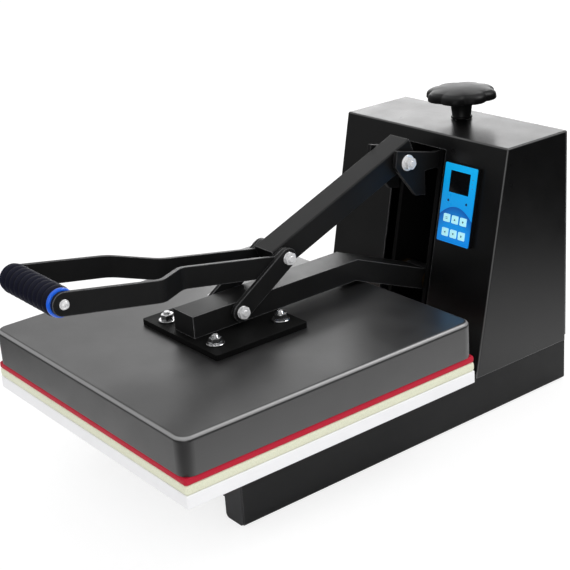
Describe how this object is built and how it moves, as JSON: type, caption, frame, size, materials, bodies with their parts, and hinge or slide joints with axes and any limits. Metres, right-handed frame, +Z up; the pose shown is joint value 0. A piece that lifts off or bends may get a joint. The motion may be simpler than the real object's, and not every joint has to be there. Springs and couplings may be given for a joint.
{
  "type": "manual heat press",
  "caption": "Clamshell manual heat press with a square heated platen on a toggle arm, ribbed handle, pressure knob, digital controller and padded lower platen.",
  "frame": {"origin": "bottom centre of the press's bounding box, on the surface its feet stand on", "axes": "+Z up; front of the press (handle grip) towards -Y, control housing towards +Y; +X is the press's right seen from behind, its controller side"},
  "size_m": [0.38, 0.6443, 0.354],
  "materials": {
    "black_paint": "satin black powder coat, faintly textured",
    "dark_grey_paint": "smooth dark grey enamel on pressed aluminium",
    "white_platen": "smooth white enamel",
    "cream_silicone": "cream closed-cell silicone sponge, matt",
    "red_silicone": "red silicone sheet, satin",
    "zinc": "bright zinc plating",
    "bare_steel": "ground steel, oiled",
    "bronze": "sintered bronze",
    "cast_aluminium": "machined casting",
    "heater_steel": "heat-tinted sheath",
    "insulation": "white ceramic-fibre blanket",
    "black_plastic": "moulded black plastic",
    "foam_rubber": "black foam rubber",
    "foot_rubber": "black rubber",
    "blue_plastic": "glossy blue plastic",
    "blue_label": "glossy blue overlay",
    "key_plastic": "pale cyan key caps",
    "lcd": "dark display window",
    "lamp_lens": "unlit smoked lamp lens",
    "board": "green circuit board with parts",
    "relay_plastic": "dark relay housing"
  },
  "bodies": {
    "base": {"base_rail_left": "black_paint", "base_rail_right": "black_paint", "base_cross_members": "black_paint", "platen_posts": "black_paint", "housing_shell": "black_paint", "housing_back_cover": "black_paint", "housing_floor": "black_paint", "pivot_side_plates": "black_paint", "screw_support": "black_paint", "lower_platen": "white_platen", "cream_pad": "cream_silicone", "red_silicone_pad": "red_silicone", "housing_screws": "zinc", "inlet_pins": "zinc", "lower_pivot_shaft": "bare_steel", "lift_springs": "bare_steel", "rail_end_caps": "black_plastic", "controller_bezel": "black_plastic", "controller_case": "black_plastic", "power_inlet": "black_plastic", "switch_body": "black_plastic", "rubber_feet": "foot_rubber", "controller_label": "blue_label", "lcd_window": "lcd", "indicator_lights": "lamp_lens", "controller_board": "board", "control_relay": "relay_plastic"},
    "platen_arm": {"lower_arm": "black_paint", "pivot_bushes": "bronze", "mounting_plate": "black_paint", "plate_bolts": "zinc", "heater_cover": "dark_grey_paint", "heating_plate": "cast_aluminium", "heating_element": "heater_steel", "insulation_blanket": "insulation", "thermocouple": "bare_steel", "link_spacers": "zinc", "link_front_bolt": "zinc"},
    "links": {"link_left": "black_paint", "link_right": "black_paint", "link_rear_bolts": "zinc"},
    "carriage": {"pressure_bracket": "black_paint", "upper_pivot_bolt": "zinc"},
    "handle": {"upper_arm": "black_paint", "upper_arm_pin": "bare_steel", "handle_bar_left": "black_paint", "handle_bar_right": "black_paint", "grip_rod": "bare_steel", "ribbed_grip": "foam_rubber", "grip_rings": "blue_plastic", "grip_bolts": "zinc"},
    "knob": {"pressure_knob": "black_plastic", "pressure_screw": "bare_steel"},
    "rocker": {"switch_rocker": "black_plastic"},
    "key_1": {"key_1": "key_plastic"},
    "key_2": {"key_2": "key_plastic"},
    "key_3": {"key_3": "key_plastic"},
    "key_4": {"key_4": "key_plastic"},
    "key_5": {"key_5": "key_plastic"},
    "key_6": {"key_6": "key_plastic"}
  },
  "joints": [
    {"name": "arm_hinge", "type": "hinge", "parent": "base", "child": "platen_arm", "pos_m": [0, 0.2042, 0.132], "axis": [-1, 0, 0], "range_deg": [0, 45], "deforming": ["lift_springs"]},
    {"name": "link_pivot", "type": "hinge", "parent": "platen_arm", "child": "links", "pos_m": [0, -0.0824, 0.1805], "axis": [1, 0, 0], "range_deg": [0, 89.6]},
    {"name": "pressure_slide", "type": "slide", "parent": "base", "child": "carriage", "axis": [0, 0, 1], "range_m": [-0.0035, 0.0035]},
    {"name": "knob_turn", "type": "hinge", "parent": "base", "child": "knob", "pos_m": [0, 0.2802, 0.324], "axis": [0, 0, 1], "range_deg": [-721, 721]},
    {"name": "handle_pivot", "type": "hinge", "parent": "carriage", "child": "handle", "pos_m": [0, 0.1662, 0.2902], "axis": [-1, 0, 0], "range_deg": [0, 74.5]},
    {"name": "rocker_tilt", "type": "hinge", "parent": "base", "child": "rocker", "pos_m": [-0.072, 0.3082, 0.154], "axis": [1, 0, 0], "range_deg": [0, 14]},
    {"name": "key_1_press", "type": "slide", "parent": "base", "child": "key_1", "axis": [0, 0.9782, -0.2075], "range_m": [0, 0.0008], "stiffness_N_per_m": 300},
    {"name": "key_2_press", "type": "slide", "parent": "base", "child": "key_2", "axis": [0, 0.9782, -0.2075], "range_m": [0, 0.0008], "stiffness_N_per_m": 300},
    {"name": "key_3_press", "type": "slide", "parent": "base", "child": "key_3", "axis": [0, 0.9782, -0.2075], "range_m": [0, 0.0008], "stiffness_N_per_m": 300},
    {"name": "key_4_press", "type": "slide", "parent": "base", "child": "key_4", "axis": [0, 0.9782, -0.2075], "range_m": [0, 0.0008], "stiffness_N_per_m": 300},
    {"name": "key_5_press", "type": "slide", "parent": "base", "child": "key_5", "axis": [0, 0.9782, -0.2075], "range_m": [0, 0.0008], "stiffness_N_per_m": 300},
    {"name": "key_6_press", "type": "slide", "parent": "base", "child": "key_6", "axis": [0, 0.9782, -0.2075], "range_m": [0, 0.0008], "stiffness_N_per_m": 300}
  ],
  "couplings": [
    {"joint": "link_pivot", "follows": "arm_hinge", "ratio": 1.9871},
    {"joint": "handle_pivot", "follows": "arm_hinge", "ratio": 1.6508},
    {"joint": "knob_turn", "follows": "pressure_slide", "rad_per_m": 3590.4}
  ]
}
